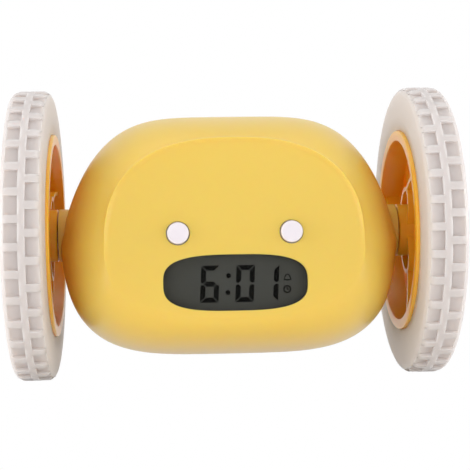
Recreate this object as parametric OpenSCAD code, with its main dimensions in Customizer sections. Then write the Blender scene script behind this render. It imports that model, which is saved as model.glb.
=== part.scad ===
// Runaway alarm clock: a rounded clock casing carried between two geared wheels.
// Millimetres, +Z up, front towards -Y, wheel axis along X.
// The origin is on the floor, midway between the wheels, straight below the wheel axis.

/* [Wheels] */
// Radius of the tyres over the tread
tyre_r = 44.5; // [43:0.5:50]
// Distance between the casing at its widest and the inner face of a tyre
wheel_gap = 2.6; // [2.4:0.1:4]
// Width of a tyre
tyre_w = 10.7; // [10:0.1:11]
// Number of square pockets in one row of the tread
pocket_count = 36; // [24:1:40]
// Depth of the tread pockets
pocket_depth = 1.7; // [1:0.1:2.5]
// Length of a pocket round the tyre
pocket_len = 5.2; // [3.5:0.1:5.6]
// Width of one row of pockets
pocket_w = 3.1; // [2:0.1:3.2]
// Width of the rib between the two rows
tread_rib = 2.4; // [2:0.1:3]
// Outer radius of the hub ring inside the tyre
hub_r = 31.1; // [29:0.1:33]
// Wall of the hub ring
hub_wall = 3.1; // [2:0.1:4]
// Thickness of the hub disc
disc_t = 1.6; // [1.2:0.1:2]
// Radius of the hub boss and of the neck on the casing
boss_r = 8.1; // [7.5:0.1:9]
// Thickness of a hub spoke
spoke_t = 1.2; // [0.8:0.1:2]
// Radius at which the two legs of a spoke meet
spoke_fork_r = 14.5; // [12:0.5:18]
// How far the casing neck stands out past the casing
neck_proud = 0.3; // [0.2:0.1:1]
// Width of the gap between a hub boss and the casing neck
neck_gap = 0.4; // [0.3:0.1:0.8]

/* [Casing] */
// Greatest half width of the casing
body_w = 51.9; // [50:0.1:53]
// Height of the casing above the wheel axis
body_top = 35.6; // [35:0.1:37]
// Depth of the casing below the wheel axis
body_bottom = 37.5; // [37:0.1:39]
// Height of the widest line of the casing, from the wheel axis
body_mid = -4.1; // [-6:0.1:-3]
// Distance from the wheel axis to the front face
face_y = 34.4; // [33:0.1:35]
// Distance from the wheel axis to the flat of the back
back_y = 33; // [32:0.1:34]
// Half width of the front face inside its crease
face_w = 37.1; // [36:0.1:39]
// Height of the crease at its top, from the wheel axis
face_top = 25.1; // [23:0.1:26]
// Angle at which the casing breaks away at the crease
crease_angle = 28; // [10:1:40]
// How much narrower the casing is at its top than at its widest, as a share
taper_top = 0.29; // [0.15:0.01:0.35]
// How much narrower the casing is at its underside than at its widest, as a share
taper_bottom = 0.14; // [0.05:0.01:0.2]
// Wall of the casing
wall = 2; // [1.6:0.1:2.4]
// Angle by which the casing leans back
lean = 5; // [0:1:12]

/* [Display and front buttons] */
// Width of the display window
window_w = 41.2; // [38:0.1:44]
// Height of the display window
window_h = 16; // [14:0.1:16.4]
// Height of the middle of the window, from the wheel axis
window_z = -16.2; // [-16.6:0.1:-15.8]
// Diameter of a front button
eye_d = 6.2; // [5:0.1:7]
// Distance between the front buttons
eye_spacing = 32.4; // [30:0.1:36]
// Height of the front buttons, from the wheel axis
eye_z = -2; // [-2.3:0.1:-1]
// How far the front buttons stand proud of the face
eye_proud = 1.4; // [1:0.1:2]
// How far the front buttons travel
eye_travel = 0.9; // [0.5:0.1:0.9]
// Gap round a button in its hole
button_gap = 0.3; // [0.2:0.05:0.4]

/* [Rear controls] */
// Diameter of a rear button
key_d = 4.6; // [4:0.1:6]
// Distance between neighbouring rear buttons
key_spacing = 11; // [10:0.5:12]
// Height of the row of rear buttons, from the wheel axis
key_z = 9; // [8:0.5:11]
// How far the rear buttons stand proud
key_proud = 1; // [0.9:0.1:1.5]
// How far the rear buttons travel
key_travel = 0.7; // [0.4:0.1:0.8]
// Travel of the run switch
switch_travel = 3; // [2:0.5:3.5]

/* [Drive] */
// Gear module
gear_m = 0.5; // [0.48:0.01:0.5]
// Teeth of the motor pinion
pinion_teeth = 10; // [10:1:12]
// Teeth of the large idler wheel
idler_teeth = 36; // [32:1:36]
// Teeth of the small idler wheel
small_teeth = 12; // [12:1:13]
// Teeth of the drive gear on the axle
drive_teeth = 42; // [40:1:44]
// Width of a gear
gear_w = 3; // [2.5:0.1:3.2]
// Extra distance between two gears in mesh
backlash = 0.15; // [0.1:0.05:0.2]
// Radius of an axle
axle_r = 2; // [1.5:0.1:2.2]
// Radial clearance of an axle in its bearings
running_gap = 0.05; // [0.03:0.01:0.1]
// Radius of a motor
motor_r = 10; // [9:0.1:10.2]
// Length of a motor
motor_len = 25; // [22:0.5:25]

/* [Batteries] */
// Diameter of a cell
cell_d = 10.5; // [10:0.1:10.5]
// Length of a cell
cell_len = 44.5; // [40:0.5:45]

/* [Hidden] */

$fn = 96;
eps = 0.02;
yellow = [0.95, 0.83, 0.4];
orange = [0.98, 0.72, 0.25];
milk = [0.95, 0.94, 0.92];
steel = [0.7, 0.7, 0.72];
brass = [0.8, 0.68, 0.4];
nylon = [0.93, 0.92, 0.88];
board_green = [0.12, 0.4, 0.25];

// Casing: rings run from the flat face to the middle plane.
outline_steps = 72;
ring_steps = 9;
power_top = 4.9;
power_bottom = 4.1;
taper_power = 1.44;
face_power = 2.5;
face_mid = -6;
face_bottom = 26;
back_w = 36;
back_top = 22;
back_bottom = 25;

// Wheel: places along the axis, measured from the middle of the clock.
tyre_out = body_w + wheel_gap + tyre_w;
neck_end = body_w + neck_proud;
boss_in = neck_end + neck_gap;
tyre_in = tyre_out - tyre_w;
lip_in = tyre_in - 0.3;
disc_out = tyre_out - 3.1;
disc_in = disc_out - disc_t;
cap_out = tyre_out + 1.3;
axle_end = disc_out;
axle_bore = 1;
cap_r = 9.5;
shoulder = 1;
tyre_bead = 0.8;
fit_gap = 0.01;
pocket_out = tyre_out - 1.2;
pocket_mid = pocket_out - pocket_w - tread_rib;
spoke_turn = 22;
spoke_start = 52;

// Drive train: each gearbox stands between the motor and the casing neck.
plate_t = 1.5;
plate_rim = 4;
neck_len = 7.6;
neck_in = neck_end - neck_len;
bush_wall = 2;
bush_r = axle_r + bush_wall;
bush_flange = 0.3;
plate_out = neck_in - bush_flange - plate_t;
pinion_gap = 0.8;
gear_step = 0.4;
top_gap = 1.5;
plate_in = plate_out - top_gap - 2 * gear_w - gear_step - pinion_gap - plate_t;
motor_face = plate_in;
pinion_at = plate_in + plate_t + pinion_gap;
small_at = pinion_at + gear_w + gear_step;
pin_r = 1;
shaft_r = 1;
shaft_in = 11;
motor_flat = 0.75;
motor_cap_r = 3;
motor_cap_t = 1.4;
cradle_t = 1.6;
cradle_ends = [7.2, motor_len - 4.8];

// The idler lies at one bearing from the axle, and the motor at another from the idler.
idler_bearing = 219.7;
motor_bearing = 255.6;
drive_dist = gear_m * (drive_teeth + small_teeth) / 2 + backlash;
pinion_dist = gear_m * (pinion_teeth + idler_teeth) / 2 + backlash;
idler_y = drive_dist * cos(idler_bearing);
idler_z = drive_dist * sin(idler_bearing);
motor_y = idler_y + pinion_dist * cos(motor_bearing);
motor_z = idler_z + pinion_dist * sin(motor_bearing);
addendum = 0.95;
dedendum = 1.2;
pressure_angle = 20;
drive_tip = gear_m * (drive_teeth / 2 + addendum);
post_r = 1.3;
post_dist = drive_tip + 2 * post_r;
post_bearings = [161, 281.5];

// Turns that bring teeth and gaps together along each line of centres.
pinion_turn = motor_bearing + 180;
idler_turn = motor_bearing - 180 / idler_teeth;
small_turn = idler_bearing + 180;
drive_turn = idler_bearing + 180 / drive_teeth;

// Display: the lens sits in a rebate and the panel stands between it and the board.
glass_y = -face_y + wall;
window_power = 0.69;
lens_gap = 0.1;
lens_rim = 1.2;
lens_flange = 1.4;
lens_sunk = 0.3;
panel_side = 2;
panel_rim = 1.1;
key_flange = 1.2;
eye_collar = 0.9;
key_collar = 0.7;
rest_gap = 0.1;

// Boards with their push switches, chips and mounting holes.
board_t = 1.2;
board_rim = 1.9;
board_top = 5;
board_hole_r = 1.1;
hole_inset = 2;
tact_h = 3.6;
tact_w = 6;
tact_stem = 0.8;
tact_stem_r = 1.7;
chip_w = 8;
chip_t = 1.2;
display_y = glass_y + key_flange + eye_travel + 2 * rest_gap + tact_h;
rear_board_y = back_y - wall - key_flange - key_travel - 4 * rest_gap - tact_h;
main_board_side = 10.5;
main_board_top = 9;

// Run switch: the knob stands at one end of its slot when the clock is off.
switch_z = 0.2;
knob_w = 3.4;
knob_h = 2.6;
knob_proud = 0.9;
slot_end = 0.4;
slot_gap = 0.3;
stem_w = 1.6;
stem_h = 1.8;
switch_w = 12;
switch_h = 5.2;
switch_t = 3;

// Buzzer behind a ring of sound holes.
buzzer_z = 16.6;
buzzer_r = 4.2;
buzzer_gap = 0.3;
sound_r = 0.8;
sound_ring = 2.9;

// Batteries: two by two at the lower back.
cell_pitch = cell_d + 0.6;
cell_y = 7.2;
cell_z = -25.6;
tray_wall = 1.2;
tray_len = cell_len + 5;
door_w = tray_len + 2 * tray_wall + 1;
door_top = cell_z + cell_pitch + cell_d / 2 + tray_wall + 1.2;
door_low = -29;
door_gap = 0.25;
door_at = cell_y + cell_pitch + cell_d / 2 + 0.9;
cell_cap = 1.2;
cell_cap_r = 1.9;
contact_t = 0.5;
contact_w = 7.2;

screw_places = [[26, 22.5], [38.5, -25.8]];
screw_boss_r = 2.7;
screw_r = 1.2;
thread_r = screw_r - 0.2;
screw_in = 10;
head_at = 12;
head_t = 1.6;
head_r = screw_boss_r - 0.6;
slot_w = 0.5;
far = 100;

// ---------- casing surface ----------

function spow(v, p) = sign(v) * pow(abs(v), p);
function ease(v) = let (c = max(0, min(1, v))) c * c * (3 - 2 * c);

// One point of the widest outline: flat above and below, narrower towards both.
function girth_point(a, in) = let (
    up = sin(a) > 0,
    power = up ? power_top : power_bottom,
    rise = spow(sin(a), 2 / power),
    taper = (up ? taper_top : taper_bottom) * pow(abs(rise), taper_power)
) [
    (body_w - in) * spow(cos(a), 2 / power) * (1 - taper),
    body_mid + (up ? body_top - in - body_mid : body_bottom - in + body_mid) * rise
];

// One point of the outline of the front or back face: half width w, top and bottom heights.
function face_point(a, w, top, bottom) = [
    w * spow(cos(a), 2 / face_power),
    face_mid + (sin(a) > 0 ? top - face_mid : bottom + face_mid) * spow(sin(a), 2 / face_power)
];

// The break at the crease fades out towards the underside.
function crease_at(a, angle) = angle * ease((sin(a) + 0.45) / 0.6);

// A point of the skin between the flat end (t = 0) and the middle plane (t = 1).
function skin_point(a, t, front, in) = let (
    edge = front
        ? face_point(a, face_w - in, face_top - in, face_bottom - in)
        : face_point(a, back_w - in, back_top - in, back_bottom - in),
    mid = girth_point(a, in),
    start = front ? crease_at(a, crease_angle) : 0,
    phi = start + (90 - start) * t,
    share = (sin(phi) - sin(start)) / (1 - sin(start)),
    depth = (front ? -(face_y - in) : back_y - in) * cos(phi) / cos(start)
) [edge[0] + (mid[0] - edge[0]) * share, depth, edge[1] + (mid[1] - edge[1]) * share];

// Closed half of the casing; "past" carries it beyond the middle plane.
module half_form(front, in, past) {
    n = outline_steps;
    side = front ? 1 : -1;
    rows = [for (j = [0:ring_steps])
        [for (i = [0:n - 1]) skin_point(i * 360 / n, j / ring_steps, front, in)]];
    last = [for (p = rows[ring_steps]) [p[0], side * past, p[2]]];
    all_rows = past > 0 ? concat(rows, [last]) : rows;
    count = len(all_rows);
    end_y = all_rows[count - 1][0][1];
    points = concat(
        [for (r = all_rows) each r],
        [[0, all_rows[0][0][1], face_mid], [0, end_y, body_mid]]
    );
    a_mid = count * n;
    b_mid = a_mid + 1;
    skin = [for (j = [0:count - 2]) for (i = [0:n - 1]) let (k = (i + 1) % n)
        each [[j * n + i, j * n + k, (j + 1) * n + k], [j * n + i, (j + 1) * n + k, (j + 1) * n + i]]];
    caps = [for (i = [0:n - 1]) let (k = (i + 1) % n, e = (count - 1) * n)
        each [[a_mid, k, i], [b_mid, e + i, e + k]]];
    faces = concat(skin, caps);
    polyhedron(points, front ? faces : [for (f = faces) [f[2], f[1], f[0]]]);
}

// ---------- helpers ----------

// Everything in the casing leans back about the wheel axis.
module in_casing() {
    translate([0, 0, tyre_r]) rotate([-lean, 0, 0]) children();
}

// Parts along the wheel axis, drawn for the right side with +Z outwards.
module on_axis(side) {
    translate([0, 0, tyre_r])
        mirror([side > 0 ? 0 : 1, 0, 0]) rotate([90, 0, 90]) children();
}

// The same, leaning with the casing.
module on_casing_axis(side) {
    in_casing() mirror([side > 0 ? 0 : 1, 0, 0]) rotate([90, 0, 90]) children();
}

// Round bar along Y from y0 to y1.
module bar_y(x, z, y0, y1, r) {
    translate([x, y0, z]) rotate([-90, 0, 0]) cylinder(h = y1 - y0, r = r);
}

// Box given by its lowest and highest corner.
module box(low, high) {
    translate(low) cube(high - low);
}

// Push button along Y: rounded top at y_top, collar from y_collar to its tail.
module button_form(x, z, y_top, y_collar, y_tail, r, collar) {
    tall = abs(y_tail - y_top);
    deep = abs(y_collar - y_top);
    edge = 0.5;
    translate([x, y_top, z]) rotate([y_tail > y_top ? -90 : 90, 0, 0]) rotate_extrude() polygon([
        [0, 0], [r - edge, 0.05], [r - edge * 0.3, edge * 0.35], [r, edge + 0.05],
        [r, deep], [r + collar, deep], [r + collar, tall], [0, tall]
    ]);
}

module window_outline(grow) {
    half_w = window_w / 2 + grow;
    half_h = window_h / 2 + grow;
    polygon([for (a = [0:7.5:352.5]) [half_w * spow(cos(a), window_power), half_h * spow(sin(a), window_power)]]);
}

// A plate of the window's outline from y0 to y1.
module window_plate(y0, y1, grow) {
    translate([0, y1, window_z]) rotate([90, 0, 0]) linear_extrude(y1 - y0) window_outline(grow);
}

// ---------- gears ----------

function inv_point(base, turn) = [
    base * (cos(turn) + turn * PI / 180 * sin(turn)),
    base * (sin(turn) - turn * PI / 180 * cos(turn))
];
function turned(p, a) = [p[0] * cos(a) - p[1] * sin(a), p[0] * sin(a) + p[1] * cos(a)];

// Half angle of a tooth at its root, so that it is half a pitch wide at the pitch circle.
function tooth_half(teeth, base, pitch) =
    90 / teeth * 0.96 + (tan(acos(base / pitch)) * 180 / PI - acos(base / pitch));

// Outline of a spur gear with involute flanks.
module gear_outline(teeth) {
    pitch = gear_m * teeth / 2;
    base = pitch * cos(pressure_angle);
    tip = pitch + gear_m * addendum;
    root = pitch - gear_m * dedendum;
    half = tooth_half(teeth, base, pitch);
    end = sqrt(tip * tip / base / base - 1) * 180 / PI;
    steps = [0, 0.45, 0.75, 1];
    polygon([for (i = [0:teeth - 1]) each concat(
        [turned([min(root, base), 0], i * 360 / teeth - half)],
        [for (s = steps) turned(inv_point(base, end * s), i * 360 / teeth - half)],
        [for (s = [3:-1:0]) let (p = inv_point(base, end * steps[s]))
            turned([p[0], -p[1]], i * 360 / teeth + half)],
        [turned([min(root, base), 0], i * 360 / teeth + half)]
    )]);
}

module gear(teeth, width, bore, turn) {
    difference() {
        rotate(turn) linear_extrude(width) gear_outline(teeth);
        translate([0, 0, -1]) cylinder(h = width + 2, r = bore);
    }
}

// ---------- casing parts ----------

// What stands inside a half of the casing ends within its wall.
module inside(front) {
    intersection() {
        half_form(front, wall / 2, 0);
        union() children();
    }
}

module screw_bosses(front) {
    for (p = screw_places) for (s = [-1, 1])
        if (front) bar_y(s * p[0], p[1], -face_y, 0, screw_boss_r);
        else bar_y(s * p[0], p[1], 0, back_y, screw_boss_r);
}

// Half of the collar that carries a bush; its outer end is the neck seen beside the wheel.
module neck_halves(front) {
    for (s = [-1, 1]) intersection() {
        mirror([s > 0 ? 0 : 1, 0, 0]) rotate([90, 0, 90])
            translate([0, 0, neck_in]) cylinder(h = neck_end - neck_in, r = boss_r);
        if (front) box([-far, -far, -far], [far, 0, far]);
        else box([-far, 0, -far], [far, far, far]);
    }
}

module neck_bores() {
    for (s = [-1, 1]) mirror([s > 0 ? 0 : 1, 0, 0]) rotate([90, 0, 90])
        translate([0, 0, neck_in - 1]) cylinder(h = neck_end - neck_in + 2, r = bush_r);
}

// Two ribs carry each motor.
module motor_cradles() {
    low_y = display_y + board_t + 0.4;
    for (s = [-1, 1]) for (e = cradle_ends) let (u = s * (motor_face - motor_len + e))
        difference() {
            box([u - cradle_t / 2, low_y, motor_z - motor_r - 6],
                [u + cradle_t / 2, motor_y - 3, motor_z - 4]);
            translate([u - cradle_t, motor_y, motor_z]) rotate([0, 90, 0])
                cylinder(h = 2 * cradle_t, r = motor_r + button_gap);
        }
}

module front_cover() {
    color(yellow) in_casing() difference() {
        union() {
            difference() {
                half_form(true, 0, 0);
                half_form(true, wall, 1);
            }
            inside(true) {
                screw_bosses(true);
                motor_cradles();
            }
            neck_halves(true);
        }
        neck_bores();
        window_plate(-face_y - 1, glass_y + 1, 0);
        window_plate(glass_y + eps / 2, glass_y + lens_flange + lens_gap, lens_rim + lens_gap);
        for (s = [-1, 1])
            bar_y(s * eye_spacing / 2, eye_z, -face_y - 1, glass_y + 1, eye_d / 2 + button_gap);
        for (p = screw_places) for (s = [-1, 1]) bar_y(s * p[0], p[1], -screw_in - 4, 1, thread_r);
    }
}

module door_zone(shrink) {
    box([-door_w / 2 + shrink, door_at, door_low + shrink], [door_w / 2 - shrink, far, door_top - shrink]);
}

module key_holes() {
    for (i = [0:3])
        bar_y((i - 1.5) * key_spacing, key_z, back_y - wall - 1, back_y + 1, key_d / 2 + button_gap);
}

module sound_holes() {
    for (i = [0:5]) let (a = i * 60)
        bar_y(sound_ring * cos(a), buzzer_z + sound_ring * sin(a), back_y - wall - 1, back_y + 1, sound_r);
    bar_y(0, buzzer_z, back_y - wall - 1, back_y + 1, sound_r);
}

module switch_slot() {
    half = (switch_travel + knob_w) / 2 + slot_end;
    tall = knob_h / 2 + slot_gap;
    box([-half, back_y - wall - 1, switch_z - tall], [half, back_y + 1, switch_z + tall]);
}

module rear_cover() {
    color(yellow) in_casing() difference() {
        union() {
            difference() {
                half_form(false, 0, 0);
                half_form(false, wall, 1);
            }
            inside(false) screw_bosses(false);
            neck_halves(false);
        }
        neck_bores();
        door_zone(0);
        key_holes();
        sound_holes();
        switch_slot();
        for (p = screw_places) for (s = [-1, 1]) {
            bar_y(s * p[0], p[1], -1, back_y + 1, screw_r + 0.2);
            bar_y(s * p[0], p[1], head_at, back_y + 1, head_r + 0.1);
        }
    }
}

// The door is a piece of the rear skin with a finger notch.
module battery_door() {
    color(yellow) in_casing() difference() {
        intersection() {
            difference() {
                half_form(false, 0, 0);
                half_form(false, wall, 1);
            }
            door_zone(door_gap);
        }
        translate([0, back_y + 3.4, door_top - 3]) rotate([0, 90, 0])
            translate([0, 0, -6]) cylinder(h = 12, r = 4.2);
    }
}

module casing_screws() {
    color(steel) in_casing() for (p = screw_places) for (s = [-1, 1]) {
        bar_y(s * p[0], p[1], -screw_in, head_at + rest_gap, thread_r - fit_gap);
        difference() {
            bar_y(s * p[0], p[1], head_at, head_at + head_t, head_r);
            for (turn = [45, -45]) translate([s * p[0], head_at + head_t, p[1]])
                rotate([0, turn, 0]) cube([slot_w, 2 * slot_w, 1.2 * head_r], center = true);
        }
    }
}

// ---------- display and boards ----------

module lcd_lens() {
    color([0.25, 0.25, 0.24]) in_casing() {
        window_plate(-face_y + lens_sunk, glass_y + 2 * eps, -lens_gap);
        window_plate(glass_y + eps, glass_y + lens_flange, lens_rim);
    }
}

module lcd_panel() {
    half_w = window_w / 2 + panel_side;
    half_h = window_h / 2 + panel_rim;
    color([0.35, 0.36, 0.34]) in_casing()
        box([-half_w, glass_y + lens_flange + rest_gap, window_z - half_h],
            [half_w, display_y, window_z + half_h]);
}

// A small square push switch with a round plunger; dir is the side of the board that it stands on.
module tact(x, y, z, dir) {
    half = tact_w / 2;
    body = dir * (tact_h - tact_stem);
    box([x - half, min(y, y + body), z - half], [x + half, max(y, y + body), z + half]);
    bar_y(x, z, min(y, y + dir * tact_h), max(y, y + dir * tact_h), tact_stem_r);
}

// A board between y0 and y0 + board_t with a hole in each upper corner.
module board(half, y0, low, top) {
    difference() {
        box([-half, y0, low], [half, y0 + board_t, top]);
        for (s = [-1, 1])
            bar_y(s * (half - hole_inset), top - hole_inset, y0 - 1, y0 + board_t + 1, board_hole_r);
    }
}

module display_board() {
    back = display_y + board_t;
    half = window_w / 2 + panel_side + board_rim;
    color(board_green) in_casing() {
        board(half, display_y, window_z - window_h / 2 - panel_rim, eye_z + board_top);
        box([-chip_w / 2, back, eye_z - chip_w], [chip_w / 2, back + chip_t, eye_z]);
        for (s = [-1, 1]) tact(s * eye_spacing / 2, display_y, eye_z, -1);
    }
}

module eye_button(side) {
    x = side * eye_spacing / 2;
    tail = display_y - tact_h - eye_travel - rest_gap;
    color(milk) in_casing()
        button_form(x, eye_z, -face_y - eye_proud, glass_y + rest_gap, tail, eye_d / 2, eye_collar);
}

module main_board() {
    front = rear_board_y - board_t;
    color(board_green) in_casing() {
        board(1.5 * key_spacing + main_board_side, front, door_top + 1.5, key_z + main_board_top);
        box([-chip_w, front - chip_t, key_z - chip_w], [chip_w, front, key_z]);
        for (i = [0:3]) tact((i - 1.5) * key_spacing, rear_board_y, key_z, 1);
    }
}

module key_button(i) {
    x = (i - 1.5) * key_spacing;
    tail = rear_board_y + tact_h + key_travel + rest_gap;
    collar_y = back_y - wall - rest_gap;
    color(milk) in_casing()
        button_form(x, key_z, back_y + key_proud, collar_y, tail, key_d / 2, key_collar);
}

module run_switch_knob() {
    x = -switch_travel / 2;
    foot = back_y - wall + 0.05;
    color(milk) in_casing() {
        box([x - knob_w / 2, foot, switch_z - knob_h / 2],
            [x + knob_w / 2, back_y + knob_proud, switch_z + knob_h / 2]);
        box([x - stem_w / 2, rear_board_y + switch_t + rest_gap, switch_z - stem_h / 2],
            [x + stem_w / 2, foot + eps, switch_z + stem_h / 2]);
    }
}

module run_switch_body() {
    top = rear_board_y + switch_t;
    half = (switch_travel + knob_w) / 2 + slot_end;
    color(steel) in_casing() difference() {
        box([-switch_w / 2, rear_board_y, switch_z - switch_h / 2],
            [switch_w / 2, top, switch_z + switch_h / 2]);
        box([-half, top - 0.8, switch_z - knob_h / 2], [half, top + 1, switch_z + knob_h / 2]);
    }
}

module buzzer() {
    back = back_y - wall - buzzer_gap;
    color([0.15, 0.15, 0.16]) in_casing() difference() {
        bar_y(0, buzzer_z, rear_board_y + rest_gap, back, buzzer_r);
        bar_y(0, buzzer_z, back - 1, back + 1, 2 * sound_r);
    }
}

// ---------- batteries ----------

module battery_tray() {
    low_y = cell_y - cell_d / 2 - 0.3;
    high_y = cell_y + cell_pitch + cell_d / 2;
    low_z = cell_z - cell_d / 2 - 0.3;
    high_z = cell_z + cell_pitch + cell_d / 2 + 0.3;
    color([0.2, 0.2, 0.2]) in_casing() intersection() {
        difference() {
            box([-tray_len / 2 - tray_wall, low_y - tray_wall, low_z - tray_wall],
                [tray_len / 2 + tray_wall, high_y, high_z + tray_wall]);
            box([-tray_len / 2, low_y, low_z], [tray_len / 2, high_y + 1, high_z]);
        }
        half_form(false, wall + 0.3, 1);
    }
}

module cell(y, z, s) {
    translate([s > 0 ? -cell_len / 2 : cell_len / 2, y, z]) rotate([0, s * 90, 0]) {
        cylinder(h = cell_len - cell_cap, r = cell_d / 2);
        translate([0, 0, cell_len - cell_cap - eps]) cylinder(h = cell_cap + eps, r = cell_cap_r);
    }
}

module battery_cells() {
    color([0.15, 0.3, 0.55]) in_casing() for (i = [0, 1]) for (j = [0, 1])
        cell(cell_y + i * cell_pitch, cell_z + j * cell_pitch, (i + j) % 2 == 0 ? 1 : -1);
}

// Flat plates at both ends, with a domed spring boss on the negative ends.
module battery_contacts() {
    color(brass) in_casing() for (i = [0, 1]) for (j = [0, 1]) {
        s = (i + j) % 2 == 0 ? 1 : -1;
        y = cell_y + i * cell_pitch;
        z = cell_z + j * cell_pitch;
        for (e = [-1, 1]) translate([e * (tray_len - contact_t) / 2, y, z])
            cube([contact_t, contact_w, contact_w], center = true);
        translate([-s * (tray_len / 2 - contact_t), y, z]) rotate([0, s * 90, 0])
            rotate_extrude() polygon([[2.2, -eps], [3.2, -eps], [2, 1.7], [1, 1.7]]);
    }
}

// ---------- drive ----------

module motor(side) {
    color(steel) on_casing_axis(side) translate([motor_y, motor_z, 0]) difference() {
        union() {
            intersection() {
                translate([0, 0, motor_face - motor_len]) cylinder(h = motor_len, r = motor_r);
                translate([0, 0, motor_face - motor_len / 2])
                    cube([2 * motor_flat * motor_r, 2 * motor_r, motor_len], center = true);
            }
            translate([0, 0, motor_face - motor_len - motor_cap_t])
                cylinder(h = motor_cap_t + eps, r = motor_cap_r);
        }
        translate([0, 0, motor_face - shaft_in - 1]) cylinder(h = shaft_in + 2, r = shaft_r + running_gap);
    }
}

module pinion(side) {
    color(brass) on_casing_axis(side) translate([motor_y, motor_z, 0]) {
        translate([0, 0, motor_face - shaft_in])
            cylinder(h = pinion_at + gear_w + 0.5 - motor_face + shaft_in, r = shaft_r);
        translate([0, 0, pinion_at]) gear(pinion_teeth, gear_w, shaft_r - eps, pinion_turn);
    }
}

module idler_gear(side) {
    color(nylon) on_casing_axis(side) translate([idler_y, idler_z, pinion_at]) {
        gear(idler_teeth, gear_w, pin_r + running_gap, idler_turn);
        translate([0, 0, gear_w - eps])
            gear(small_teeth, gear_step + gear_w + 0.2, pin_r + running_gap, small_turn);
    }
}

// One side plate with its bores; low is its lower front corner.
module plate(at, low) {
    high = [axle_r + plate_rim, axle_r + plate_rim + 1.5];
    difference() {
        translate([low[0], low[1], at]) cube([high[0] - low[0], high[1] - low[1], plate_t]);
        translate([0, 0, at - 1]) cylinder(h = plate_t + 2, r = axle_r + running_gap);
        translate([motor_y, motor_z, at - 1]) cylinder(h = plate_t + 2, r = shaft_r + 1);
    }
}

// Two plates, the posts between them and the idler's pin.
module gearbox(side) {
    color([0.85, 0.85, 0.83]) on_casing_axis(side) {
        plate(plate_in, [motor_y - 2 - plate_rim, motor_z - plate_rim]);
        plate(plate_out, [-post_dist - post_r, -post_dist - post_r]);
        for (a = post_bearings)
            translate([post_dist * cos(a), post_dist * sin(a), plate_in + plate_t - eps])
                cylinder(h = plate_out - plate_in - plate_t + 2 * eps, r = post_r);
        translate([idler_y, idler_z, plate_in]) cylinder(h = plate_out + plate_t - plate_in, r = pin_r);
    }
}

module bush(side) {
    color(brass) on_casing_axis(side) difference() {
        union() {
            translate([0, 0, neck_in - bush_flange + eps]) cylinder(h = bush_flange - eps, r = bush_r + 1);
            translate([0, 0, neck_in - eps]) cylinder(h = neck_len - 0.3, r = bush_r - fit_gap);
        }
        translate([0, 0, neck_in - 2]) cylinder(h = neck_len + 4, r = axle_r + running_gap);
    }
}

module drive_gear(side) {
    color(nylon) on_casing_axis(side) difference() {
        union() {
            translate([0, 0, small_at]) gear(drive_teeth, gear_w, axle_r + fit_gap, drive_turn);
            translate([0, 0, pinion_at - pinion_gap / 2])
                cylinder(h = small_at - pinion_at + pinion_gap / 2 + eps, r = bush_r);
        }
        translate([0, 0, plate_in]) cylinder(h = far, r = axle_r + fit_gap);
    }
}

module axle(side) {
    color(steel) on_axis(side) difference() {
        translate([0, 0, plate_in - 0.2]) cylinder(h = axle_end - plate_in + 0.2, r = axle_r);
        translate([0, 0, axle_end - 6]) cylinder(h = 7, r = axle_bore);
    }
}

// ---------- wheels ----------

// A thin rib from p to q, drawn in the plane of the wheel.
module rib(p, q) {
    d = q - p;
    translate(p) rotate(atan2(d[1], d[0])) translate([0, -spoke_t / 2]) square([norm(d), spoke_t]);
}

// Y-shaped spoke: two legs on the boss, one stem out to the ring.
module spoke() {
    fork = [spoke_fork_r, 0];
    stem_r = hub_r - hub_wall + 0.5;
    stem = stem_r * [cos(spoke_turn), -sin(spoke_turn)];
    leg_r = boss_r - 0.6;
    leg_a = leg_r * [cos(42), sin(42)];
    leg_b = leg_r * [cos(42), -sin(42)];
    union() {
        rib(fork, stem);
        rib(leg_a, fork);
        rib(leg_b, fork);
        translate(fork) circle(r = spoke_t * 0.8);
    }
}

module hub(side) {
    color(orange) on_axis(side) difference() {
        union() {
            rotate_extrude() polygon([
                [hub_r, lip_in + 0.4], [hub_r - 0.4, lip_in], [hub_r - hub_wall + 0.4, lip_in],
                [hub_r - hub_wall, lip_in + 0.4], [hub_r - hub_wall, disc_in], [boss_r, disc_in],
                [boss_r, boss_in], [1, boss_in], [1, disc_out], [hub_r - hub_wall, disc_out],
                [hub_r - hub_wall + 1.2, disc_out + 1.8], [hub_r, disc_out + 1.8]
            ]);
            for (i = [0:2]) rotate(i * 120 + spoke_start)
                translate([0, 0, lip_in + 0.3]) linear_extrude(disc_in - lip_in) spoke();
        }
        translate([0, 0, boss_in - 1]) cylinder(h = disc_out - boss_in + 2, r = axle_r + fit_gap);
    }
}

// Tyre section: radius first, then place along the axis.
function tyre_section() = [
    [hub_r + fit_gap, tyre_in + tyre_bead], [tyre_r - shoulder, tyre_in],
    [tyre_r - shoulder * 0.3, tyre_in + shoulder * 0.3], [tyre_r, tyre_in + shoulder],
    [tyre_r, tyre_out - shoulder], [tyre_r - shoulder * 0.3, tyre_out - shoulder * 0.3],
    [tyre_r - shoulder, tyre_out], [tyre_r - 5, tyre_out],
    [hub_r + 3, tyre_out - 1], [hub_r + fit_gap, tyre_out - 1]
];

module tread_row(at, turn) {
    for (i = [0:pocket_count - 1]) rotate(i * 360 / pocket_count + turn)
        translate([tyre_r - pocket_depth, -pocket_len / 2, at])
            cube([pocket_depth + 2, pocket_len, pocket_w]);
}

module tyre(side) {
    color(milk) on_axis(side) difference() {
        rotate_extrude($fn = 144) polygon(tyre_section());
        tread_row(pocket_out - pocket_w, 0);
        tread_row(pocket_mid - pocket_w, 180 / pocket_count);
    }
}

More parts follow.
